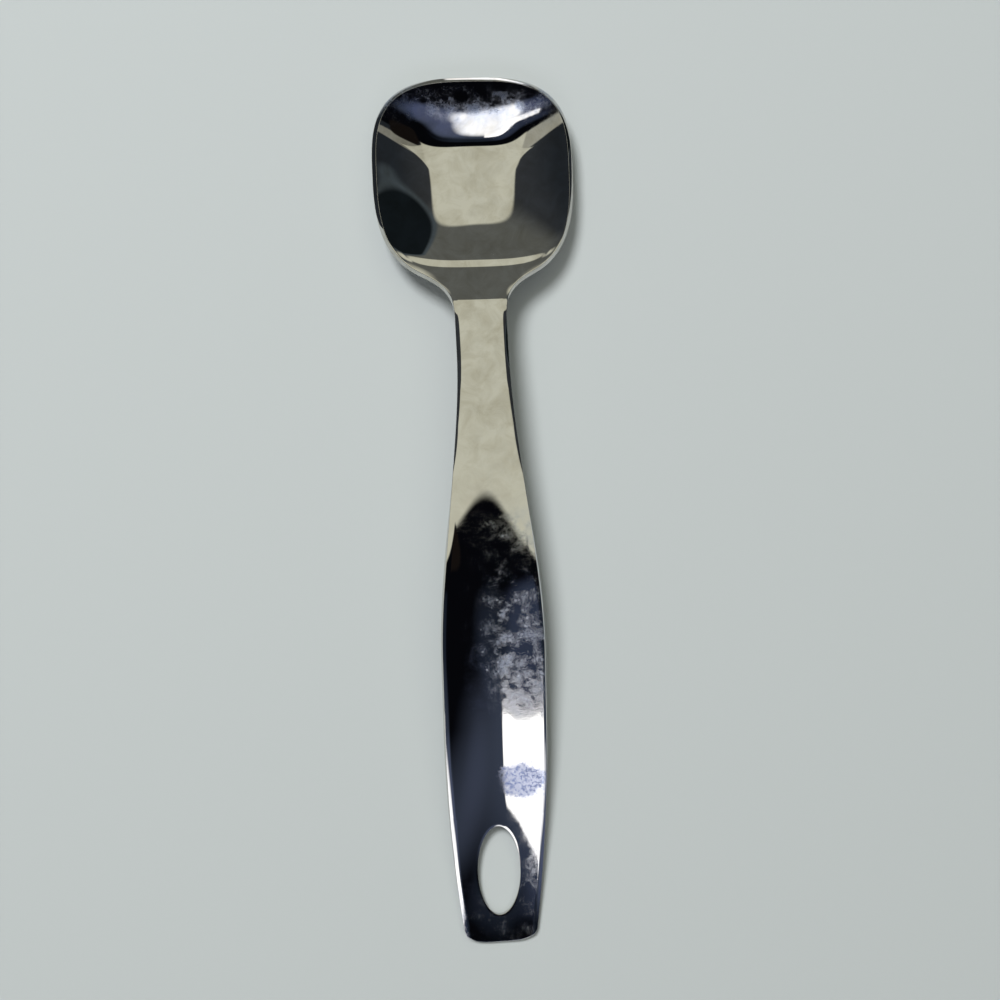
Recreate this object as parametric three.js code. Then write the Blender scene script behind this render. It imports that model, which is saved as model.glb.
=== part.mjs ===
// One-piece serving spoon, pressed from a single sheet of stainless steel and polished all over:
// a rounded-square bowl, a short ramped neck, and an arched handle with a thumb trough and an oval
// hole to hang it by.
//
// Millimetres. +Y runs from the handle's end to the bowl's tip, +X across, +Z up. The spoon lies on
// z = 0 as on a table, on the flat of its bowl and the end of its handle. Its length is centred on y = 0.

import * as THREE from "three";

// Driving dimensions
const OVERALL_LENGTH = 241.3;
const SHEET_THICKNESS = 1.5;

// Bowl. Its widest line is where the front and the back of its outline meet.
const BOWL_WIDTH = 55.4;
const BOWL_FRONT = 25.5; // widest line to the tip
const BOWL_BACK = 31; // widest line to the point where the back's curve would close inside the neck
const BOWL_DEPTH = 9.6; // floor to rim
const BOWL_FLAT = 8; // width of the flat that the bowl stands on
const HOLLOW_BACK = 25.2; // widest line to the back edge of the hollow
const FRONT_SQUARENESS = 3.1; // exponents of the outline: 2 is an ellipse, and more is squarer
const BACK_SQUARENESS = 2.8;
const HOLLOW_SQUARENESS = 3.4; // of the hollow's back edge
const FRONT_WALL_POWER = 2.1; // exponents of the wall's rise from the flat to the rim
const BACK_WALL_POWER = 1.75;
const LIP_ROLL = 0.8; // how softly the back wall rolls over onto the ledge behind it
const LEDGE = 0.8; // the strip between the hollow and the ramp

// Neck, between the bowl's ledge and the handle
const NECK_WIDTH = 14.2;
const NECK_RISE = 6.2;
const RAMP_SLOPE = 0.56;
const NECK_ROLL = 0.6; // how softly the ramp turns level at its top
const NECK_FILLET = 10; // how softly the bowl's outline runs into the neck's sides

// Handle. Stations are measured back from the bowl's tip or forward from the handle's end.
const CREST_RISE = 2.8; // neck to the top of the arch
const CREST_FROM_TIP = 86.3;
const ARCH_PAST_END = 14; // the arch would run out level this far beyond the handle's end
const FLARE_FROM_TIP = 76.3; // where the handle starts to widen
const FLARE_LENGTH = 83;
const GRIP_WIDTH = 28.8;
const TAPER_FROM_END = 62; // where the handle starts to narrow again
const END_WIDTH = 19.8;
const END_CORNER = 4.6; // how far the rounded corners reach along the handle
const END_SQUARENESS = 3;
const TROUGH_FROM_TIP = 96.3; // where the trough starts
const TROUGH_LENGTH = 45; // from there to its full depth
const TROUGH_DEPTH = 3.2;
const END_TROUGH_DEPTH = 1;

// Hanging hole, an ellipse
const HOLE_WIDTH = 12.2;
const HOLE_LENGTH = 25.3;
const HOLE_FROM_END = 8.2; // handle's end to the near edge of the hole

// Mesh density
const COLUMNS = 20; // quads across the spoon
const TIP_ROWS = 8;
const BOWL_ROWS = 12; // widest line to the start of the lip
const NECK_ROWS = 14; // start of the lip to the top of the ramp
const HANDLE_ROWS = 28; // top of the ramp to the hole's field
const HOLE_ROWS = 9; // along each side of the hole's field
const HOLE_RINGS = 4;
const END_ROWS = 3;
const EDGE_STEPS = 4; // round the half circle of an edge

// Places that follow from the driving dimensions
const TIP_Y = OVERALL_LENGTH / 2;
const END_Y = -OVERALL_LENGTH / 2;
const EDGE_RADIUS = SHEET_THICKNESS / 2;
const WIDEST_Y = TIP_Y - BOWL_FRONT;
const LIP_Y = WIDEST_Y - HOLLOW_BACK;
const LIP_START_Y = LIP_Y + HOLLOW_BACK / 6;
const NECK_Y = LIP_Y - LEDGE - NECK_RISE / RAMP_SLOPE;
const CREST_Y = TIP_Y - CREST_FROM_TIP;
const LEVEL_Y = END_Y - ARCH_PAST_END;
const FLARE_Y = TIP_Y - FLARE_FROM_TIP;
const TAPER_Y = END_Y + TAPER_FROM_END;
const TROUGH_Y = TIP_Y - TROUGH_FROM_TIP;
const HOLE_Y = END_Y + HOLE_FROM_END + HOLE_LENGTH / 2;
const FLOOR_Z = SHEET_THICKNESS / 2; // heights are of the middle of the sheet
const RIM_Z = FLOOR_Z + BOWL_DEPTH;
const NECK_Z = RIM_Z + NECK_RISE;
const CREST_Z = NECK_Z + CREST_RISE;
const SLOPE_STEP = 0.01; // for slopes by difference

const clamp01 = (t) => Math.min(1, Math.max(0, t));
const ease = (t) => clamp01(t) ** 2 * (3 - 2 * clamp01(t)); // 0 to 1 with level ends
const arc = (t) => Math.cos((clamp01(t) * Math.PI) / 2) ** 2; // 1 to 0 with level ends

// The lower or the higher of two values, rounded over where they come within a distance of each other.
function lowerOf(a, b, round) {
  const near = Math.max(round - Math.abs(a - b), 0);
  return Math.min(a, b) - (round > 0 ? near ** 2 / (4 * round) : 0);
}
const higherOf = (a, b, round) => -lowerOf(-a, -b, round);

// Half width of a superellipse of half width 1 at a share of its reach.
const superellipse = (share, squareness) => (1 - clamp01(share) ** squareness) ** (1 / squareness);

// Outline

function handleHalfWidth(y) {
  const widening = ((GRIP_WIDTH - NECK_WIDTH) / 2) * ease((FLARE_Y - y) / FLARE_LENGTH);
  const narrowing = ((GRIP_WIDTH - END_WIDTH) / 2) * Math.max(0, (TAPER_Y - y) / TAPER_FROM_END) ** 2;
  return NECK_WIDTH / 2 + widening - narrowing;
}

// How far a point lies outside the bowl and the handle as joined by the neck's fillet, behind the bowl's
// widest line: less than 0 on the metal.
function edgeGap(x, y) {
  const across = (x / (BOWL_WIDTH / 2)) ** BACK_SQUARENESS;
  const along = Math.max(0, (WIDEST_Y - y) / BOWL_BACK) ** BACK_SQUARENESS;
  const bowlGap = ((across + along) ** (1 / BACK_SQUARENESS) - 1) * (BOWL_WIDTH / 2);
  return lowerOf(bowlGap, x - handleHalfWidth(y), NECK_FILLET);
}

// Half width of the blank there, found by halving.
function halfWidth(y) {
  let inside = 0;
  let outside = BOWL_WIDTH;
  for (let i = 0; i < 40; i++) {
    const x = (inside + outside) / 2;
    if (edgeGap(x, y) > 0) outside = x;
    else inside = x;
  }
  return inside;
}

// Height of the middle of the sheet

const alongBowl = (y) => (y - WIDEST_Y) / (y > WIDEST_Y ? BOWL_FRONT : HOLLOW_BACK);

// 0 at the middle of the bowl, 1 at the edge of its hollow, and more on the ledge and the neck. The hollow
// is rounder towards its middle.
function hollowShare(x, y) {
  const squareness = y > WIDEST_Y ? FRONT_SQUARENESS : HOLLOW_SQUARENESS;
  const across = Math.abs(x / (BOWL_WIDTH / 2));
  const along = Math.abs(alongBowl(y));
  const square = (across ** squareness + along ** squareness) ** (1 / squareness);
  return square + (Math.hypot(across, along) - square) * (1 - ease(square));
}

function hollowHeight(y, share) {
  const flat = BOWL_FLAT / BOWL_WIDTH;
  if (share <= flat) return FLOOR_Z;
  const towardsFront = ease((1 + alongBowl(y) / share) / 2);
  const power = BACK_WALL_POWER + (FRONT_WALL_POWER - BACK_WALL_POWER) * towardsFront;
  return FLOOR_Z + BOWL_DEPTH * ((share - flat) / (1 - flat)) ** power;
}

// The arch along the handle's middle, from the neck over the crest to the end that lies on the table.
function archHeight(y) {
  if (y > CREST_Y) return NECK_Z + CREST_RISE * arc((y - CREST_Y) / (NECK_Y - CREST_Y));
  const run = CREST_Y - LEVEL_Y;
  const fall = (CREST_Z - FLOOR_Z) / (1 - arc((CREST_Y - END_Y) / run));
  return CREST_Z - fall * (1 - arc((CREST_Y - y) / run));
}

function troughDepth(y) {
  const deepening = TROUGH_DEPTH * ease((TROUGH_Y - y) / TROUGH_LENGTH);
  const easing = (TROUGH_DEPTH - END_TROUGH_DEPTH) * ease((TAPER_Y - y) / TAPER_FROM_END);
  return deepening - easing;
}

// The ledge behind the hollow, narrower towards its sides, the ramp up the neck, and the handle with its
// trough.
function handleHeight(x, y, share) {
  const ledge = LEDGE * Math.max(0, 1 - (x / (BOWL_WIDTH / 2)) ** 2);
  const climb = RAMP_SLOPE * ((share - 1) * HOLLOW_BACK - ledge);
  const ramp = lowerOf(higherOf(climb, 0, LIP_ROLL), NECK_RISE, NECK_ROLL);
  const trough = troughDepth(y) * (x / handleHalfWidth(y)) ** 2;
  return RIM_Z + ramp + (archHeight(y) - NECK_Z) + trough;
}

function height(x, y) {
  const share = hollowShare(x, y);
  const roll = LIP_ROLL * ease((WIDEST_Y - y) / HOLLOW_BACK); // the rim is rolled only at the back
  return lowerOf(hollowHeight(y, share), handleHeight(x, y, share), roll);
}

function sheetPoint(x, y) {
  const slopeX = (height(x + SLOPE_STEP, y) - height(x - SLOPE_STEP, y)) / (2 * SLOPE_STEP);
  const slopeY = (height(x, y + SLOPE_STEP) - height(x, y - SLOPE_STEP)) / (2 * SLOPE_STEP);
  return {
    middle: new THREE.Vector3(x, y, height(x, y)),
    normal: new THREE.Vector3(-slopeX, -slopeY, 1).normalize(),
  };
}

// Plan of the blank, as rows of points across it from the tip to the handle's end. The plan stops one
// edge radius inside the outline, because the rounded edge goes round it.

const straightRow = (y) => ({ side: y, middle: y, half: halfWidth(y) - EDGE_RADIUS });

// count rows from y to end, without end itself.
function straightRows(y, end, count) {
  return Array.from({ length: count }, (_, i) => straightRow(y + ((end - y) * i) / count));
}

// Rows that close an end of the outline with a half superellipse. Each bows to follow the end's curve:
// its middle stands further out than its sides. They run from the end inwards.
function endRows(widestY, halfAt, reach, squareness, count) {
  const corner = 2 ** (-1 / squareness);
  return Array.from({ length: count }, (_, i) => {
    const out = 1 - i / count;
    const side = widestY + reach * corner * out;
    const half = halfAt(side) * superellipse(corner * out, squareness);
    return { side, middle: widestY + reach * out, half, squareness };
  });
}

// How far out along its bow a row stands: 1 at its middle and 0 at its sides.
function bow(v, squareness) {
  const corner = 2 ** (-1 / squareness);
  return (superellipse(corner * Math.abs(v), squareness) - corner) / (1 - corner);
}

function rowPoint(row, v) {
  const rise = row.middle - row.side;
  return new THREE.Vector2(row.half * v, row.side + (rise ? rise * bow(v, row.squareness) : 0));
}

const cornerY = END_Y + END_CORNER;
const holeHalf = new THREE.Vector2(HOLE_WIDTH / 2 + EDGE_RADIUS, HOLE_LENGTH / 2 + EDGE_RADIUS);
const fieldY = HOLE_Y + holeHalf.y + (HOLE_Y - holeHalf.y - cornerY); // as far above the hole as below it
const rows = [
  ...endRows(
    WIDEST_Y,
    () => BOWL_WIDTH / 2 - EDGE_RADIUS,
    BOWL_FRONT - EDGE_RADIUS,
    FRONT_SQUARENESS,
    TIP_ROWS,
  ),
  ...straightRows(WIDEST_Y, LIP_START_Y, BOWL_ROWS),
  ...straightRows(LIP_START_Y, NECK_Y, NECK_ROWS),
  ...straightRows(NECK_Y, fieldY, HANDLE_ROWS),
  ...straightRows(fieldY, cornerY, HOLE_ROWS),
  straightRow(cornerY),
  ...endRows(
    cornerY,
    (y) => halfWidth(y) - EDGE_RADIUS,
    EDGE_RADIUS - END_CORNER,
    END_SQUARENESS,
    END_ROWS,
  ).reverse(),
];
const fieldTop = TIP_ROWS + BOWL_ROWS + NECK_ROWS + HANDLE_ROWS; // the rows that bound the hole's field
const fieldEnd = fieldTop + HOLE_ROWS;

// The plan's points, its quads, and its two edges, each with the metal on its left.
function planOfBlank() {
  const points = [];
  const quads = [];
  const add = (point) => points.push(point) - 1;
  const inField = (i) => i > fieldTop && i < fieldEnd;
  const grid = rows.map((row, i) =>
    Array.from({ length: COLUMNS + 1 }, (_, j) =>
      inField(i) && j > 0 && j < COLUMNS ? null : add(rowPoint(row, (2 * j) / COLUMNS - 1)),
    ),
  );
  for (let i = 0; i + 1 < rows.length; i++) {
    if (i >= fieldTop && i < fieldEnd) continue;
    for (let j = 0; j < COLUMNS; j++) {
      quads.push([grid[i][j], grid[i + 1][j], grid[i + 1][j + 1], grid[i][j + 1]]);
    }
  }
  const leftSide = (from, to) => grid.slice(from, to).map((line) => line[0]);
  const rightSide = (from, to) => grid.slice(from, to).map((line) => line[COLUMNS]).reverse();
  const last = rows.length - 1;
  const outer = [
    ...leftSide(0, last),
    ...grid[last].slice(0, COLUMNS),
    ...rightSide(1, last + 1),
    ...grid[0].slice(1).reverse(),
  ];

  // Rings of quads from the field's border in to the hole
  let ring = [
    ...leftSide(fieldTop, fieldEnd),
    ...grid[fieldEnd].slice(0, COLUMNS),
    ...rightSide(fieldTop + 1, fieldEnd + 1),
    ...grid[fieldTop].slice(1).reverse(),
  ];
  const border = ring.map((k) => points[k]);
  const fieldHalf = (fieldY - cornerY) / 2;
  const rim = border.map((p) => {
    const angle = Math.atan2((p.y - HOLE_Y) / fieldHalf, p.x / halfWidth(p.y));
    return new THREE.Vector2(holeHalf.x * Math.cos(angle), HOLE_Y + holeHalf.y * Math.sin(angle));
  });
  for (let step = 1; step <= HOLE_RINGS; step++) {
    const next = border.map((p, k) => add(p.clone().lerp(rim[k], step / HOLE_RINGS)));
    next.forEach((point, k) => {
      const after = (k + 1) % next.length;
      quads.push([ring[k], ring[after], next[after], point]);
    });
    ring = next;
  }
  return { points, quads, edges: [outer, ring.reverse()] };
}

// The sheet round its plan: an upper face, an under face, and edges rounded to half circles.
function pressedSheet({ points, quads, edges }) {
  const vertices = [];
  const triangles = [];
  const add = (vertex) => vertices.push(vertex) - 1;
  const addQuad = (a, b, c, d) => {
    const shortWay = vertices[a].distanceTo(vertices[c]) <= vertices[b].distanceTo(vertices[d]);
    triangles.push(...(shortWay ? [a, b, c, a, c, d] : [a, b, d, b, c, d]));
  };
  const sheet = points.map((p) => sheetPoint(p.x, p.y));
  const offset = ({ middle, normal }, distance) => middle.clone().addScaledVector(normal, distance);
  const upper = sheet.map((s) => add(offset(s, EDGE_RADIUS)));
  const under = sheet.map((s) => add(offset(s, -EDGE_RADIUS)));
  for (const [a, b, c, d] of quads) {
    addQuad(upper[a], upper[b], upper[c], upper[d]);
    addQuad(under[d], under[c], under[b], under[a]);
  }
  for (const edge of edges) {
    const outward = edge.map((k, i) => {
      const before = sheet[edge.at(i - 1)].middle;
      const after = sheet[edge[(i + 1) % edge.length]].middle;
      return after.clone().sub(before).cross(sheet[k].normal).normalize();
    });
    const ringAt = (step) => {
      const turn = (Math.PI * step) / EDGE_STEPS;
      return edge.map((k, i) => {
        const { middle, normal } = sheet[k];
        const along = normal.clone().multiplyScalar(Math.cos(turn));
        along.addScaledVector(outward[i], Math.sin(turn));
        return add(offset({ middle, normal: along }, EDGE_RADIUS));
      });
    };
    const rings = [edge.map((k) => upper[k])];
    for (let step = 1; step < EDGE_STEPS; step++) rings.push(ringAt(step));
    rings.push(edge.map((k) => under[k]));
    for (let step = 0; step < EDGE_STEPS; step++) {
      edge.forEach((_, i) => {
        const next = (i + 1) % edge.length;
        addQuad(rings[step][i], rings[step + 1][i], rings[step + 1][next], rings[step][next]);
      });
    }
  }
  const geometry = new THREE.BufferGeometry().setFromPoints(vertices);
  geometry.setIndex(triangles);
  geometry.computeVertexNormals();
  return geometry;
}

const polishedSteel = new THREE.MeshStandardMaterial({
  color: 0xc9c7bf,
  roughness: 0.16,
  metalness: 1,
});

const spoonBody = new THREE.Mesh(pressedSheet(planOfBlank()), polishedSteel);
spoonBody.name = "spoon_body";

const servingSpoon = new THREE.Group();
servingSpoon.add(spoonBody);

export default servingSpoon;
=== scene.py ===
import math
from types import SimpleNamespace

import bpy
import numpy as np
from mathutils import Euler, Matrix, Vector


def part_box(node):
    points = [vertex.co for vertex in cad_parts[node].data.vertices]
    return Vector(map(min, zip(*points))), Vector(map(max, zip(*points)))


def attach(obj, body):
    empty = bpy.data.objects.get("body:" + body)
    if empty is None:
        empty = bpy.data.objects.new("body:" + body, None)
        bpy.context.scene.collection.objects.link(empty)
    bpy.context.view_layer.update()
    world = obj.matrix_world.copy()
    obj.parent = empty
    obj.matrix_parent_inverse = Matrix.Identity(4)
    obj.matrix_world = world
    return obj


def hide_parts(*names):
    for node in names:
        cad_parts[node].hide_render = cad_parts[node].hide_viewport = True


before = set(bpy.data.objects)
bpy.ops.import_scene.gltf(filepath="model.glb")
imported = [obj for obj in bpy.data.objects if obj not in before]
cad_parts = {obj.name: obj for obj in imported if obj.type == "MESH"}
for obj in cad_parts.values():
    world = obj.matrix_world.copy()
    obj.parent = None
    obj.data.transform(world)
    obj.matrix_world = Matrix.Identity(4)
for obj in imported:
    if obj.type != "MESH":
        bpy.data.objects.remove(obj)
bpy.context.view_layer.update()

mmPerMetre = 1000   # the spoon's sizes are in millimetres, Blender's in metres
# a mix node's colour sockets, by number because its other sockets have the same names
colourA, colourB, colourOut = 6, 7, 2


def hexColour(text):
    # sRGB hex to the linear values that Blender's sockets take
    parts = [int(text[i:i + 2], 16) / 255 for i in (1, 3, 5)]
    linear = [p / 12.92 if p <= 0.04045 else ((p + 0.055) / 1.055) ** 2.4 for p in parts]
    return (*linear, 1.0)


def addNode(tree, kind, settings=None, links=None):
    node = tree.nodes.new(kind)
    for key, value in (settings or {}).items():
        if isinstance(key, int) or key in node.inputs:
            node.inputs[key].default_value = value
        else:
            setattr(node, key, value)
    for key, source in (links or {}).items():
        tree.links.new(source, node.inputs[key])
    return node


def fromTo(limits):
    # settings of a map range node
    return {"From Min": limits[0], "From Max": limits[1]}


def layered(tree, ground, layers):
    # lays each layer's colour over the last, by its share
    total = addNode(tree, "ShaderNodeRGB").outputs[0]
    total.default_value = ground
    for colour, share in layers:
        total = addNode(tree, "ShaderNodeMix", {"data_type": "RGBA", colourB: colour},
                        {0: share, colourA: total}).outputs[colourOut]
    return total


# the spoon: one stamping of sheet, real sizes in millimetres
spoon = {
    "sheet": 1.5,
    "bowlFront": 25.5,       # widest line to the tip
    "bowlBack": 31.0,        # widest line to where the back's curve would close inside the neck
    "bowlDepth": 9.6,
    "bowlFlat": 8.0,         # width of the flat that it stands on
    "hollowBack": 25.2,      # widest line to the back edge of the hollow
    "frontSquareness": 3.1,  # exponents: 2 is an ellipse, more is squarer
    "hollowSquareness": 3.4,
    "backSquareness": 2.8,
    "frontWallPower": 2.1,   # exponents of the walls' rise from the flat
    "backWallPower": 1.75,
    "kneeRise": 0.4,         # the front wall bends up a little more sharply from the floor
    "kneeFrom": 0.31,        # shares of the way to the tip
    "kneeLength": 0.26,
    "kneeFadeFrom": 0.25,    # shares of half the width, where the bend fades out to the sides
    "kneeFadeLength": 0.35,
    "lipRoll": 0.8,          # how softly the back wall turns onto the ledge, and the ledge into the ramp
    "ledge": 0.8,            # width of the strip between the hollow and the ramp
    "ledgeLeast": 0.25,      # share of that width left at its sides
    "neckWidth": 14.2,
    "neckRise": 6.2,
    "rampSlope": 0.53,
    "neckRoll": 0.6,
    "neckFillet": 10.0,
    "crestRise": 2.8,
    "crestFromTip": 86.3,
    "archPastEnd": 14.0,     # the arch would run out level this far beyond the end
    "flareFromTip": 76.3,
    "flareLength": 83.0,
    "gripWidth": 28.8,
    "taperFromEnd": 62.0,
    "endWidth": 19.8,
    "endCorner": 4.6,
    "endSquareness": 3.0,
    "troughFromTip": 96.3,
    "troughLength": 45.0,
    "troughDepth": 3.2,
    "endTroughDepth": 1.0,
    "holeWidth": 12.2,
    "holeLength": 25.3,
    "holeFromEnd": 8.2,
    "edgeSquareness": 14.0,  # cut square and only eased
    "edgeShear": 0.47,       # the cut leans in towards the top by this share of half the sheet
    # sheared edges turn down a little, on the handle more than on the back of the bowl
    "edgeTurn": 1.5,
    "edgeTurnPower": 1.3,
    "edgeFall": 0.55,
    "bowlFallShare": 0.12,
    "bowlFallLength": 20.0,  # behind the widest line
    "neckFallFrom": 6.0,     # before the top of the ramp
    "neckFallLength": 12.0,
    # mesh, fine enough for clean mirror reflections
    "columns": 72,
    "tipRows": 64,
    "bowlRows": 40,
    "neckRows": 44,
    "neckRowsFrom": 5.0,     # mm before the lip
    "neckRowsPast": 1.0,     # mm past the top of the ramp
    "handleRows": 150,
    "holeRows": 36,
    "holeRings": 12,
    "endRows": 10,
    "edgeSteps": 16,
    "halvings": 40,          # in finding the outline
}
size = SimpleNamespace(**spoon)
boxLow, boxHigh = (Vector(corner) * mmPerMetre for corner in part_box("spoon_body"))
tipY, endY = boxHigh.y, boxLow.y
bowlHalf = (boxHigh.x - boxLow.x) / 2
halfSheet = size.sheet / 2
widestY = tipY - size.bowlFront
lipY = widestY - size.hollowBack
neckY = lipY - size.ledge - size.neckRise / size.rampSlope
crestY = tipY - size.crestFromTip
levelY = endY - size.archPastEnd
flareY = tipY - size.flareFromTip
taperY = endY + size.taperFromEnd
troughY = tipY - size.troughFromTip
holeY = endY + size.holeFromEnd + size.holeLength / 2
floorZ = halfSheet            # heights are of the middle of the sheet
rimZ = floorZ + size.bowlDepth
neckZ = rimZ + size.neckRise
crestZ = neckZ + size.crestRise


def ease(t):
    t = np.clip(t, 0, 1)
    return t * t * (3 - 2 * t)


def archShare(t):
    return np.cos(np.clip(t, 0, 1) * math.pi / 2) ** 2


def lowerOf(a, b, rounding):
    # the lower of two values, rounded over where they come close
    near = np.maximum(rounding - np.abs(a - b), 0)
    return np.minimum(a, b) - near ** 2 / (4 * np.maximum(rounding, 1e-9))


def superellipse(share, squareness):
    return (1 - np.clip(share, 0, 1) ** squareness) ** (1 / squareness)


def cornerShare(squareness):
    # how far out a superellipse is at the middle of its corner
    return 2 ** (-1 / squareness)


def handleHalfWidth(y):
    widening = (size.gripWidth - size.neckWidth) / 2 * ease((flareY - y) / size.flareLength)
    narrowing = (size.gripWidth - size.endWidth) / 2 * np.maximum(0, (taperY - y) / size.taperFromEnd) ** 2
    return size.neckWidth / 2 + widening - narrowing


def edgeGap(x, y):
    # how far outside the bowl and the handle, as joined by the neck's fillet, behind the bowl's widest line
    power = size.backSquareness
    along = np.maximum(0, (widestY - y) / size.bowlBack) ** power
    bowlGap = ((along + (np.abs(x) / bowlHalf) ** power) ** (1 / power) - 1) * bowlHalf
    return lowerOf(bowlGap, np.abs(x) - handleHalfWidth(y), size.neckFillet)


def halfWidth(y):
    inside, outside = np.zeros_like(y), np.full_like(y, 2 * bowlHalf)
    for _ in range(size.halvings):
        x = (inside + outside) / 2
        off = edgeGap(x, y) > 0
        inside, outside = np.where(off, inside, x), np.where(off, x, outside)
    return inside


def hollowReach(y):
    return np.where(y > widestY, size.bowlFront, size.hollowBack)


def hollowShare(x, y):
    # 0 at the middle of the bowl and 1 at the edge of its hollow, rounder towards the middle
    power = np.where(y > widestY, size.frontSquareness, size.hollowSquareness)
    across, along = np.abs(x / bowlHalf), np.abs((y - widestY) / hollowReach(y))
    square = (across ** power + along ** power) ** (1 / power)
    return square + (np.hypot(across, along) - square) * (1 - ease(square))


def hollowHeight(x, y, share):
    # the wall's power changes smoothly from the front to the back
    turn = (1 + np.clip((y - widestY) / hollowReach(y) / np.maximum(share, 1e-6), -1, 1)) / 2
    wallPower = size.backWallPower + (size.frontWallPower - size.backWallPower) * ease(turn)
    flat = size.bowlFlat / (2 * bowlHalf)
    hollow = floorZ + size.bowlDepth * (np.maximum(0, share - flat) / (1 - flat)) ** wallPower
    knee = size.kneeRise * ease(((y - widestY) / size.bowlFront - size.kneeFrom) / size.kneeLength)
    return hollow + knee * (1 - ease((np.abs(x / bowlHalf) - size.kneeFadeFrom) / size.kneeFadeLength))


def handleHeight(x, y, share):
    # ledge behind the hollow, ramp up the neck, arch of the handle and its trough
    ledge = size.ledge * np.maximum(size.ledgeLeast, 1 - (x / bowlHalf) ** 2)
    climb = size.rampSlope * ((share - 1) * size.hollowBack - ledge)
    ramp = lowerOf(-lowerOf(-climb, 0, size.lipRoll), size.neckRise, size.neckRoll)
    rising = neckZ + size.crestRise * archShare((y - crestY) / (neckY - crestY))
    fall = (crestZ - floorZ) / (1 - archShare((crestY - endY) / (crestY - levelY)))
    falling = crestZ - fall * (1 - archShare((crestY - y) / (crestY - levelY)))
    arch = np.where(y > crestY, rising, falling)
    trough = size.troughDepth * ease((troughY - y) / size.troughLength)
    trough = trough - (size.troughDepth - size.endTroughDepth) * ease((taperY - y) / size.taperFromEnd)
    return rimZ + ramp + arch - neckZ + trough * (x / handleHalfWidth(y)) ** 2


def sheetHeight(x, y):
    share = hollowShare(x, y)
    roll = size.lipRoll * ease((widestY - y) / size.hollowBack)
    height = lowerOf(hollowHeight(x, y, share), handleHeight(x, y, share), roll)
    turned = np.maximum(0, 1 + edgeGap(x, y) / size.edgeTurn) ** size.edgeTurnPower
    onBowl = size.bowlFallShare * ease((widestY - y) / size.bowlFallLength)
    onHandle = (1 - size.bowlFallShare) * ease((neckY + size.neckFallFrom - y) / size.neckFallLength)
    return height - size.edgeFall * (turned * (onBowl + onHandle))


def sheetNormals(x, y, step=0.01):
    slopeX = (sheetHeight(x + step, y) - sheetHeight(x - step, y)) / (2 * step)
    slopeY = (sheetHeight(x, y + step) - sheetHeight(x, y - step)) / (2 * step)
    normals = np.stack([-slopeX, -slopeY, np.ones_like(x)], axis=1)
    return normals / np.linalg.norm(normals, axis=1, keepdims=True)


# rows across the blank, each as the y of its sides and of its middle, its half width and its squareness
def straightRows(start, end, count):
    ys = np.linspace(start, end, count, endpoint=False)
    return [(y, y, half - halfSheet, 2.0) for y, half in zip(ys, halfWidth(ys))]


def roundedRows(widest, halfAt, reach, squareness, count):
    # rows that bow to follow a rounded end, from the end inwards
    rows = []
    for i in range(count):
        out = 1 - (i / count) ** 2
        cornerOut = cornerShare(squareness) * out
        side = widest + reach * cornerOut
        half = halfAt(side) * superellipse(cornerOut, squareness)
        rows.append((side, widest + reach * out, half, squareness))
    return rows


def planOfBlank():
    # stops half a sheet inside the outline, because the cut edges go round it
    cornerY = endY + size.endCorner
    holeHalf = np.array([size.holeWidth / 2 + halfSheet, size.holeLength / 2 + halfSheet])
    fieldY = 2 * holeY - cornerY   # the hole's rings fill the rows from here to the end's corners
    neckRowsY = lipY + size.neckRowsFrom
    handleRowsY = neckY - size.neckRowsPast
    rows = roundedRows(widestY, lambda y: bowlHalf - halfSheet, size.bowlFront - halfSheet,
                       size.frontSquareness, size.tipRows)
    rows += straightRows(widestY, neckRowsY, size.bowlRows)
    rows += straightRows(neckRowsY, handleRowsY, size.neckRows)
    rows += straightRows(handleRowsY, fieldY, size.handleRows)
    rows += straightRows(fieldY, cornerY, size.holeRows)
    rows += straightRows(cornerY, cornerY, 1)
    rows += roundedRows(cornerY, lambda y: handleHalfWidth(y) - halfSheet, halfSheet - size.endCorner,
                        size.endSquareness, size.endRows)[::-1]
    fieldTop = size.tipRows + size.bowlRows + size.neckRows + size.handleRows
    fieldEnd = fieldTop + size.holeRows
    v = np.linspace(-1, 1, size.columns + 1)
    points, quads = [], []

    def addPoint(x, y):
        points.append((float(x), float(y)))
        return len(points) - 1

    grid = []
    for i, (side, middle, half, squareness) in enumerate(rows):
        corner = cornerShare(squareness)
        bow = (superellipse(corner * np.abs(v), squareness) - corner) / (1 - corner)
        inField = fieldTop < i < fieldEnd
        grid.append([None if inField and 0 < j < size.columns
                     else addPoint(half * v[j], side + (middle - side) * bow[j])
                     for j in range(size.columns + 1)])
    for i in range(len(rows) - 1):
        if fieldTop <= i < fieldEnd:
            continue
        for j in range(size.columns):
            quads.append((grid[i][j], grid[i + 1][j], grid[i + 1][j + 1], grid[i][j + 1]))

    def borderOf(top, end):
        # anticlockwise round the rows from top to end
        left = [line[0] for line in grid[top:end]]
        right = [line[-1] for line in grid[top + 1:end + 1]][::-1]
        return left + grid[end][:-1] + right + grid[top][:0:-1]

    outer = borderOf(0, len(rows) - 1)
    ring = borderOf(fieldTop, fieldEnd)
    border = np.array([points[k] for k in ring])
    fieldHalf = (fieldY - cornerY) / 2
    angle = np.arctan2((border[:, 1] - holeY) / fieldHalf, border[:, 0] / halfWidth(border[:, 1]))
    rim = np.stack([holeHalf[0] * np.cos(angle), holeY + holeHalf[1] * np.sin(angle)], axis=1)
    for step in range(1, size.holeRings + 1):
        after = [addPoint(*p) for p in border + (rim - border) * step / size.holeRings]
        for k in range(len(ring)):
            n = (k + 1) % len(ring)
            quads.append((ring[k], ring[n], after[n], after[k]))
        ring = after
    return np.array(points), quads, [outer, ring[::-1]]


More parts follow.
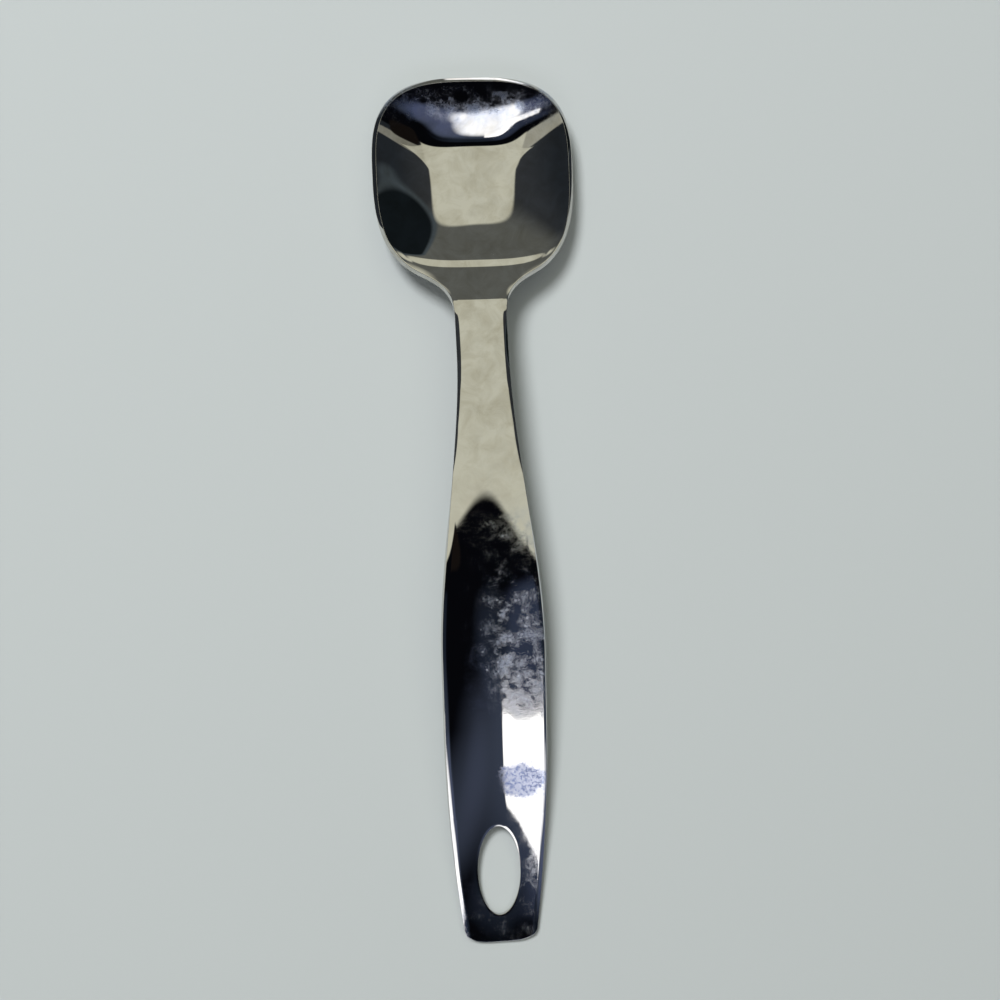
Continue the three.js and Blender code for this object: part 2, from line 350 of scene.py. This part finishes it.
def pressedSheet(name):
    # upper face, under face and cut edges, with normals from the formulas so that it mirrors cleanly
    plan, quads, edges = planOfBlank()
    middle = np.column_stack([plan, sheetHeight(plan[:, 0], plan[:, 1])])
    normals = sheetNormals(plan[:, 0], plan[:, 1])
    count = len(plan)
    vertices = [middle + normals * halfSheet, middle - normals * halfSheet]
    facing = [normals, -normals]
    faces = list(quads) + [tuple(k + count for k in quad[::-1]) for quad in quads]
    total = 2 * count
    power = 2 / size.edgeSquareness
    tilt = size.edgeSquareness - 1
    for edge, shear in zip(edges, (size.edgeShear, 0)):   # the hole is punched straight
        ids = np.array(edge)
        along = middle[np.roll(ids, -1)] - middle[np.roll(ids, 1)]
        outward = np.cross(along, normals[ids])
        outward /= np.linalg.norm(outward, axis=1, keepdims=True)
        trim = 1 - outward[:, 2:] / 2   # a leaning wall's square edge is cut back to stay on the outline
        rings = [ids]
        for step in range(1, size.edgeSteps):
            turn = math.pi * step / size.edgeSteps
            rise, reach = abs(math.cos(turn)) ** power, math.sin(turn) ** power
            side = math.copysign(1, math.cos(turn))   # 1 on the upper half of the edge, -1 on the lower
            up = normals[ids] * side
            inset = shear * (1 + side * rise) / 2
            vertices.append(middle[ids] + halfSheet * (up * rise + outward * reach * (trim - inset)))
            lean = up * rise ** tilt + (outward + normals[ids] * shear / 2) * reach ** tilt
            facing.append(lean / np.linalg.norm(lean, axis=1, keepdims=True))
            rings.append(np.arange(total, total + len(ids)))
            total += len(ids)
        rings.append(ids + count)
        for upper, lower in zip(rings, rings[1:]):
            for i in range(len(ids)):
                n = (i + 1) % len(ids)
                faces.append((upper[i], lower[i], lower[n], upper[n]))
    points = np.concatenate(vertices) / mmPerMetre
    mesh = bpy.data.meshes.new(name)
    mesh.from_pydata(points.tolist(), [], [tuple(map(int, face)) for face in faces])
    mesh.shade_smooth()
    mesh.normals_split_custom_set_from_vertices(np.concatenate(facing).tolist())
    piece = bpy.data.objects.new(name, mesh)
    bpy.context.scene.collection.objects.link(piece)
    return piece


spoonPiece = pressedSheet("spoon_sheet")
print("spoon sheet built:", len(spoonPiece.data.polygons), "faces")


# polished stainless steel: buffed to a mirror, so it shows the room, and worn by years of use: fine
# straight scratches and a mottled haze that catch the light on the grip and at the bowl's tip
steel = {
    "colour": "#d3d1cc",
    "stainColour": "#b9b5ab",
    "stain": 6.0,               # mm, size of the faint water marks
    "stainRange": (0.38, 0.72),  # such ranges are of the noise, from none to full
    "stainAlong": (0.45, 0.60),  # marks come in over these shares of the length, towards the bowl
    "polish": 0.014,            # roughness of the clean mirror
    "haze": 0.012,              # roughness added where it is worn
    "grainRough": 0.17,
    "grain": 0.9,               # mm, size of the mottling
    "grainRange": (0.43, 0.70),
    "grainDepth": 0.006,        # mm, of the shallow dints between scratches
    "wornColour": "#aeb8cc",    # worn places are tinted a little darker and bluer
    "scratchRough": 0.34,
    "scratchWidth": 0.10,       # mm; real ones are about 0.03 mm, drawn coarser to show at all
    "scratchLength": 6.0,       # mm
    "scratchDepth": 0.0015,     # mm
    "scratchAngles": (9, 28, 47, 66, 97, 118, 139, 163),
    "scratchShift": (13.0, 7.0),  # mm, from each angle's pattern to the next
    "scratchRange": (0.645, 0.76),
    "wearPatch": 3.6,           # mm, size of the patches that wear comes in
    "patchRange": (0.33, 0.70),
    # how worn it is along its length, from the end of the handle (0) to the tip (1)
    "wearAlong": (
        (0.0, 0.45), (0.07, 0.45), (0.11, 0.15), (0.14, 0.04), (0.262, 0.05), (0.28, 0.36), (0.33, 0.75),
        (0.40, 0.8), (0.44, 0.4), (0.46, 0.4), (0.475, 0.6), (0.495, 0.4), (0.51, 0.08), (0.78, 0.06),
        (0.94, 0.08), (0.955, 0.35), (0.968, 1.0), (0.988, 0.9), (0.996, 0.15),
    ),
    # across its width, from the less worn side; near both ends it is worn all across
    "wearAcross": (-11.0, 0.0),  # mm
    "leastWear": 0.06,
    "endWear": (0.40, 0.45),    # shares of the length, from its middle
    # a dulled spot on the grip, rough from wear, its bluish colour a painted reflection: middle and half
    # size in mm
    "dullPlace": (7.2, -74.2),
    "dullSize": (7.0, 5.2),
    "dullRagged": 10 / 3,       # mm, size of the noise that frays its outline
    "dullFray": 1.3,            # how far it frays, in half sizes
    "dullRange": (1.85, 1.30),  # of the frayed distance, from clear to dull
    "dullMottle": 0.5,          # share of the dulling that follows the grain
    "dullRough": 0.25,
    # painted reflection: the bluish colour of what the spot mirrors, painted into the steel
    "dullPaintedReflectionColour": "#8a98c2",
}


def wornShare(tree, place, along, sideways):
    # 0 where it is still a mirror, 1 where it is worn most
    use = addNode(tree, "ShaderNodeValToRGB", {}, {"Fac": along})
    stops = use.color_ramp.elements
    stops.remove(stops[1])
    for i, (stop, amount) in enumerate(steel["wearAlong"]):
        point = stops[0] if i == 0 else stops.new(stop)
        point.position = stop
        point.color = (amount, amount, amount, 1)
    patch = addNode(tree, "ShaderNodeTexNoise",
                    {"Scale": mmPerMetre / steel["wearPatch"], "Detail": 3.0, "Roughness": 0.55},
                    {"Vector": place})
    patchy = addNode(tree, "ShaderNodeMapRange", fromTo(steel["patchRange"]),
                     {"Value": patch.outputs["Fac"]})
    wear = addNode(tree, "ShaderNodeMath", {"operation": "MULTIPLY"},
                   {0: patchy.outputs["Result"], 1: use.outputs["Color"]})
    sides = [c / mmPerMetre for c in steel["wearAcross"]]
    across = addNode(tree, "ShaderNodeMapRange", {**fromTo(sides), "To Min": steel["leastWear"]},
                     {"Value": sideways})
    offMiddle = addNode(tree, "ShaderNodeMath", {"operation": "SUBTRACT", 1: 0.5}, {0: along})
    offMiddle = addNode(tree, "ShaderNodeMath", {"operation": "ABSOLUTE"}, {0: offMiddle.outputs["Value"]})
    atEnds = addNode(tree, "ShaderNodeMapRange", fromTo(steel["endWear"]),
                     {"Value": offMiddle.outputs["Value"]})
    across = addNode(tree, "ShaderNodeMath", {"operation": "MAXIMUM"},
                     {0: across.outputs["Result"], 1: atEnds.outputs["Result"]})
    return addNode(tree, "ShaderNodeMath", {"operation": "MULTIPLY"},
                   {0: wear.outputs["Value"], 1: across.outputs["Value"]}).outputs["Value"]


def scratchLines(tree, place):
    # crests of noise stretched into streaks, at several angles
    scratches = None
    streakSize = [steel[key] / mmPerMetre for key in ("scratchLength", "scratchWidth")]
    for i, angle in enumerate(steel["scratchAngles"]):
        shift = [c / mmPerMetre * i for c in steel["scratchShift"]]
        turned = addNode(tree, "ShaderNodeMapping",
                         {"vector_type": "TEXTURE", "Rotation": (0, 0, math.radians(angle)),
                          "Location": (*shift, 0), "Scale": (*streakSize, 1)}, {"Vector": place})
        streak = addNode(tree, "ShaderNodeTexNoise", {"noise_dimensions": "2D", "Scale": 1.0, "Detail": 0.0},
                         {"Vector": turned.outputs["Vector"]})
        line = addNode(tree, "ShaderNodeMapRange",
                       {"interpolation_type": "SMOOTHSTEP", **fromTo(steel["scratchRange"])},
                       {"Value": streak.outputs["Fac"]}).outputs["Result"]
        if scratches is None:
            scratches = line
        else:
            scratches = addNode(tree, "ShaderNodeMath", {"operation": "MAXIMUM"},
                                {0: scratches, 1: line}).outputs["Value"]
    return scratches


def dullSpotAndPaintedReflection(tree, place, grainy):
    # 0 away from the spot, and up to 1 in it, where it roughens the steel and lays on the painted bluish
    # reflection
    spot = addNode(tree, "ShaderNodeMapping",
                   {"vector_type": "TEXTURE", "Location": [c / mmPerMetre for c in steel["dullPlace"]] + [0],
                    "Scale": [c / mmPerMetre for c in steel["dullSize"]] + [1]}, {"Vector": place})
    away = addNode(tree, "ShaderNodeVectorMath", {"operation": "LENGTH"}, {0: spot.outputs["Vector"]})
    ragged = addNode(tree, "ShaderNodeTexNoise",
                     {"Scale": mmPerMetre / steel["dullRagged"], "Detail": 4.0, "Roughness": 0.7},
                     {"Vector": place})
    away = addNode(tree, "ShaderNodeMath", {"operation": "MULTIPLY_ADD", 1: steel["dullFray"]},
                   {0: ragged.outputs["Fac"], 2: away.outputs["Value"]})
    dullAndPaintedReflection = addNode(tree, "ShaderNodeMapRange",
                   {"interpolation_type": "SMOOTHSTEP", **fromTo(steel["dullRange"])},
                   {"Value": away.outputs["Value"]})
    mottle = steel["dullMottle"]
    mottled = addNode(tree, "ShaderNodeMath", {"operation": "MULTIPLY_ADD", 1: mottle, 2: 1 - mottle},
                      {0: grainy})
    return addNode(tree, "ShaderNodeMath", {"operation": "MULTIPLY"},
                   {0: dullAndPaintedReflection.outputs["Result"], 1: mottled.outputs["Value"]}).outputs["Value"]


def waterMarks(tree, place, along):
    stain = addNode(tree, "ShaderNodeTexNoise",
                    {"Scale": mmPerMetre / steel["stain"], "Detail": 5.0, "Roughness": 0.62,
                     "Distortion": 0.6}, {"Vector": place})
    marks = addNode(tree, "ShaderNodeMapRange", fromTo(steel["stainRange"]),
                    {"Value": stain.outputs["Fac"]})
    nearBowl = addNode(tree, "ShaderNodeMapRange", fromTo(steel["stainAlong"]), {"Value": along})
    return addNode(tree, "ShaderNodeMath", {"operation": "MULTIPLY"},
                   {0: marks.outputs["Result"], 1: nearBowl.outputs["Result"]}).outputs["Value"]


def polishedStainlessSteel():
    material = bpy.data.materials.new("polished stainless steel")
    material.use_nodes = True
    tree = material.node_tree
    tree.nodes.clear()
    place = addNode(tree, "ShaderNodeTexCoord").outputs["Object"]
    parts = addNode(tree, "ShaderNodeSeparateXYZ", {}, {0: place})
    ends = (endY / mmPerMetre, tipY / mmPerMetre)
    along = addNode(tree, "ShaderNodeMapRange", fromTo(ends),
                    {"Value": parts.outputs["Y"]}).outputs["Result"]
    wear = wornShare(tree, place, along, parts.outputs["X"])
    grain = addNode(tree, "ShaderNodeTexNoise",
                    {"Scale": mmPerMetre / steel["grain"], "Detail": 4.0, "Roughness": 0.62,
                     "Distortion": 0.5}, {"Vector": place}).outputs["Fac"]
    grainy = addNode(tree, "ShaderNodeMapRange",
                     {"interpolation_type": "SMOOTHSTEP", **fromTo(steel["grainRange"])},
                     {"Value": grain}).outputs["Result"]
    scratches = scratchLines(tree, place)
    dullAndPaintedReflection = dullSpotAndPaintedReflection(tree, place, grainy)
    # roughness: the mirror, what wear adds as haze, as grain and as scratches, and the dulled spot
    added = addNode(tree, "ShaderNodeMath",
                    {"operation": "MULTIPLY_ADD", 1: steel["grainRough"], 2: steel["haze"]}, {0: grainy})
    added = addNode(tree, "ShaderNodeMath", {"operation": "MULTIPLY_ADD", 1: steel["scratchRough"]},
                    {0: scratches, 2: added.outputs["Value"]})
    rough = addNode(tree, "ShaderNodeMath", {"operation": "MULTIPLY_ADD", 2: steel["polish"]},
                    {0: added.outputs["Value"], 1: wear})
    rough = addNode(tree, "ShaderNodeMath", {"operation": "MULTIPLY_ADD", 1: steel["dullRough"]},
                    {0: dullAndPaintedReflection, 2: rough.outputs["Value"]})
    # depth of the scratches and dints, in metres
    depth = addNode(tree, "ShaderNodeMath", {"operation": "MULTIPLY", 1: steel["scratchDepth"] / mmPerMetre},
                    {0: scratches})
    depth = addNode(tree, "ShaderNodeMath",
                    {"operation": "MULTIPLY_ADD", 1: steel["grainDepth"] / mmPerMetre},
                    {0: grain, 2: depth.outputs["Value"]})
    depth = addNode(tree, "ShaderNodeMath", {"operation": "MULTIPLY"}, {0: depth.outputs["Value"], 1: wear})
    bump = addNode(tree, "ShaderNodeBump", {"invert": True, "Strength": 1.0, "Distance": 1.0},
                   {"Height": depth.outputs["Value"]})
    # colour: faint water marks, worn places tinted darker and bluer, and the dulled spot's painted bluish
    # reflection
    tone = layered(tree, hexColour(steel["colour"]),
                   [(hexColour(steel["stainColour"]), waterMarks(tree, place, along)),
                    (hexColour(steel["wornColour"]), wear),
                    (hexColour(steel["dullPaintedReflectionColour"]), dullAndPaintedReflection)])
    shader = addNode(tree, "ShaderNodeBsdfPrincipled", {"Metallic": 1.0},
                     {"Base Color": tone, "Roughness": rough.outputs["Value"],
                      "Normal": bump.outputs["Normal"]})
    addNode(tree, "ShaderNodeOutputMaterial", {}, {"Surface": shader.outputs["BSDF"]})
    return material


spoonPiece.data.materials.append(polishedStainlessSteel())
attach(spoonPiece, "root")
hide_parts("spoon_body")
print("steel finished")


# floor, surroundings and lamp, in metres and watts
studio = {
    "floorColour": "#bec4c5",
    "floorSize": 12.0,
    "floorRough": 0.9,
    "floorShine": 0.1,
    "surround": "#292e34",
    "keyPower": 32.0,
    "keyPlace": (-0.56, 0.78, 1.72),
    "keySize": 0.60,
}

# far surroundings, as soft patches on the sky flattened from above (the horizon is at radius 1):
# middle, half size, turn in degrees, squareness, softness, colour and strength
skyPatches = {
    "glow": ((0.02, 0.14), (0.40, 0.62), 0, 2, 0.55, "#868d96", 0.20),
    "backWall": ((0.05, 0.80), (0.42, 0.42), 0, 2, 0.45, "#80837f", 0.66),
    "lamp": ((0.68, 0.65), (0.508, 0.508), 0, 2, 0.02, "#66727a", 0.55),
    "lampDark": ((0.686, 0.646), (0.492, 0.492), 0, 2, 0.02, "#171d21", 1.0),
    "farWindow": ((0.19, 0.96), (0.165, 0.095), 0, 4, 0.08, "#fbfcff", 1.9),
    "leftWing": ((-0.45, -0.09), (0.42, 0.066), 14, 4, 0.10, "#dcdcce", 0.66),
    "rightWing": ((0.50, -0.02), (0.36, 0.034), -4, 4, 0.15, "#cfcfc3", 0.46),
    "leftFillet": ((-0.232, 0.02), (0.16, 0.12), 4, 0.6, 0.05, "#eeeedc", 0.80),
    "rightFillet": ((0.275, 0.0), (0.26, 0.16), 0, 0.6, 0.05, "#eeeedc", 0.76),
    "foot": ((0.02, -0.06), (0.31, 0.20), 0, 4, 0.03, "#eeeedc", 0.86),
    "ceiling": ((0.025, 0.06), (0.28, 0.50), -6, 1.75, 0.03, "#eeeedc", 0.86),
    "front": ((0.0, -0.71), (1.50, 0.615), 4.6, 2, 0.012, "#08090e", 1.0),
    "shelf": ((0.47, -0.105), (0.13, 0.06), 0, 4, 0.10, "#2d2725", 0.38),
    "glare": ((-0.22, -0.222), (0.20, 0.028), 0, 2, 0.70, "#8496c4", 0.16),
    "glareSide": ((0.05, -0.208), (0.11, 0.022), 0, 2, 0.70, "#7f93b8", 0.07),
    "halo": ((0.0, -0.34), (0.46, 0.10), 0, 2, 0.25, "#8c9cc0", 0.26),
    "haloSide": ((0.17, -0.345), (0.17, 0.075), 0, 2, 0.45, "#97a4d2", 0.34),
    "haloFar": ((-0.22, -0.33), (0.13, 0.070), 0, 2, 0.60, "#9aa4d8", 0.26),
    "window": ((-0.19, -0.2655), (0.17, 0.0225), 1.46, 16, 0.03, "#fbfbff", 2.0),
    "panel": ((-0.035, -0.345), (0.125, 0.075), 0, 2.5, 0.30, "#f6f8ff", 1.9),
}


def softPatches(tree, flat):
    # each patch's colour, and how far it covers what lies under it
    layers = []
    for middle, half, turn, squareness, softness, colour, strength in skyPatches.values():
        share = addNode(tree, "ShaderNodeMapping",
                        {"vector_type": "TEXTURE", "Location": (*middle, 0), "Scale": (*half, 1),
                         "Rotation": (0, 0, math.radians(turn))}, {"Vector": flat})
        apart = addNode(tree, "ShaderNodeVectorMath", {"operation": "ABSOLUTE"}, {0: share.outputs[0]})
        parts = addNode(tree, "ShaderNodeSeparateXYZ", {}, {0: apart.outputs[0]})
        powers = [addNode(tree, "ShaderNodeMath", {"operation": "POWER", 1: squareness},
                          {0: parts.outputs[axis]}) for axis in "XY"]
        reach = addNode(tree, "ShaderNodeMath", {"operation": "ADD"},
                        {0: powers[0].outputs[0], 1: powers[1].outputs[0]})
        limits = ((1 + softness) ** squareness, (1 - softness) ** squareness)
        cover = addNode(tree, "ShaderNodeMapRange", {"interpolation_type": "SMOOTHSTEP", **fromTo(limits)},
                        {"Value": reach.outputs[0]})
        bright = [c * strength for c in hexColour(colour)[:3]] + [1.0]
        layers.append((bright, cover.outputs["Result"]))
    return layers


def surroundings():
    world = bpy.data.worlds.new("surroundings")
    bpy.context.scene.world = world
    world.use_nodes = True
    tree = world.node_tree
    tree.nodes.clear()
    ray = addNode(tree, "ShaderNodeTexCoord").outputs["Generated"]
    parts = addNode(tree, "ShaderNodeSeparateXYZ", {}, {0: ray})
    # a hair over 1 keeps the divisor off zero straight below
    above = addNode(tree, "ShaderNodeMath", {"operation": "ADD", 1: 1.0001}, {0: parts.outputs["Z"]})
    flat = addNode(tree, "ShaderNodeVectorMath", {"operation": "DIVIDE"}, {0: ray, 1: above.outputs[0]})
    level = addNode(tree, "ShaderNodeVectorMath", {"operation": "MULTIPLY", 1: (1, 1, 0)},
                    {0: flat.outputs[0]})
    total = layered(tree, hexColour(studio["surround"]), softPatches(tree, level.outputs[0]))
    shade = addNode(tree, "ShaderNodeBackground", {"Strength": 1.0}, {"Color": total})
    addNode(tree, "ShaderNodeOutputWorld", {}, {"Surface": shade.outputs[0]})


def paleFloor():
    half = studio["floorSize"] / 2
    corners = [(-half, -half, 0), (half, -half, 0), (half, half, 0), (-half, half, 0)]
    mesh = bpy.data.meshes.new("floor")
    mesh.from_pydata(corners, [], [(0, 1, 2, 3)])
    floor = bpy.data.objects.new("floor", mesh)
    bpy.context.scene.collection.objects.link(floor)
    # uncoated paper: it has almost no shine, so the spoon's shadow lies soft and plain on it
    material = bpy.data.materials.new("pale matt paper")
    material.use_nodes = True
    shader = material.node_tree.nodes["Principled BSDF"]
    shader.inputs["Base Color"].default_value = hexColour(studio["floorColour"])
    shader.inputs["Roughness"].default_value = studio["floorRough"]
    shader.inputs["Specular IOR Level"].default_value = studio["floorShine"]
    mesh.materials.append(material)


def keyLamp():
    # lights the floor and gives the shadow, and isn't mirrored by the steel
    lamp = bpy.data.lights.new("key", "AREA")
    lamp.shape = "DISK"
    lamp.size = studio["keySize"]
    lamp.energy = studio["keyPower"]
    piece = bpy.data.objects.new("key", lamp)
    piece.location = studio["keyPlace"]
    piece.rotation_euler = (-Vector(studio["keyPlace"])).to_track_quat("-Z", "Y").to_euler()
    piece.visible_glossy = False
    bpy.context.scene.collection.objects.link(piece)


surroundings()
paleFloor()
keyLamp()
print("studio set")

# camera of the photograph: almost straight above, a little to the left, turned a little
view = {
    "place": (-0.03906, 0.00674, 0.49913),   # m
    "turn": (-0.13, -5.02, -2.31),           # degrees
    "lens": 63.94,                           # mm, on a sensor of the width below
    "sensor": 36.0,
    "nearest": 0.01,                         # m
}
lens = bpy.data.cameras.new("camera")
lens.lens = view["lens"]
lens.sensor_width = view["sensor"]
lens.sensor_fit = "HORIZONTAL"
lens.clip_start = view["nearest"]
camera = bpy.data.objects.new("camera", lens)
camera.location = view["place"]
camera.rotation_euler = Euler([math.radians(a) for a in view["turn"]])
bpy.context.scene.collection.objects.link(camera)
bpy.context.scene.camera = camera
bpy.context.scene.view_settings.view_transform = "Standard"
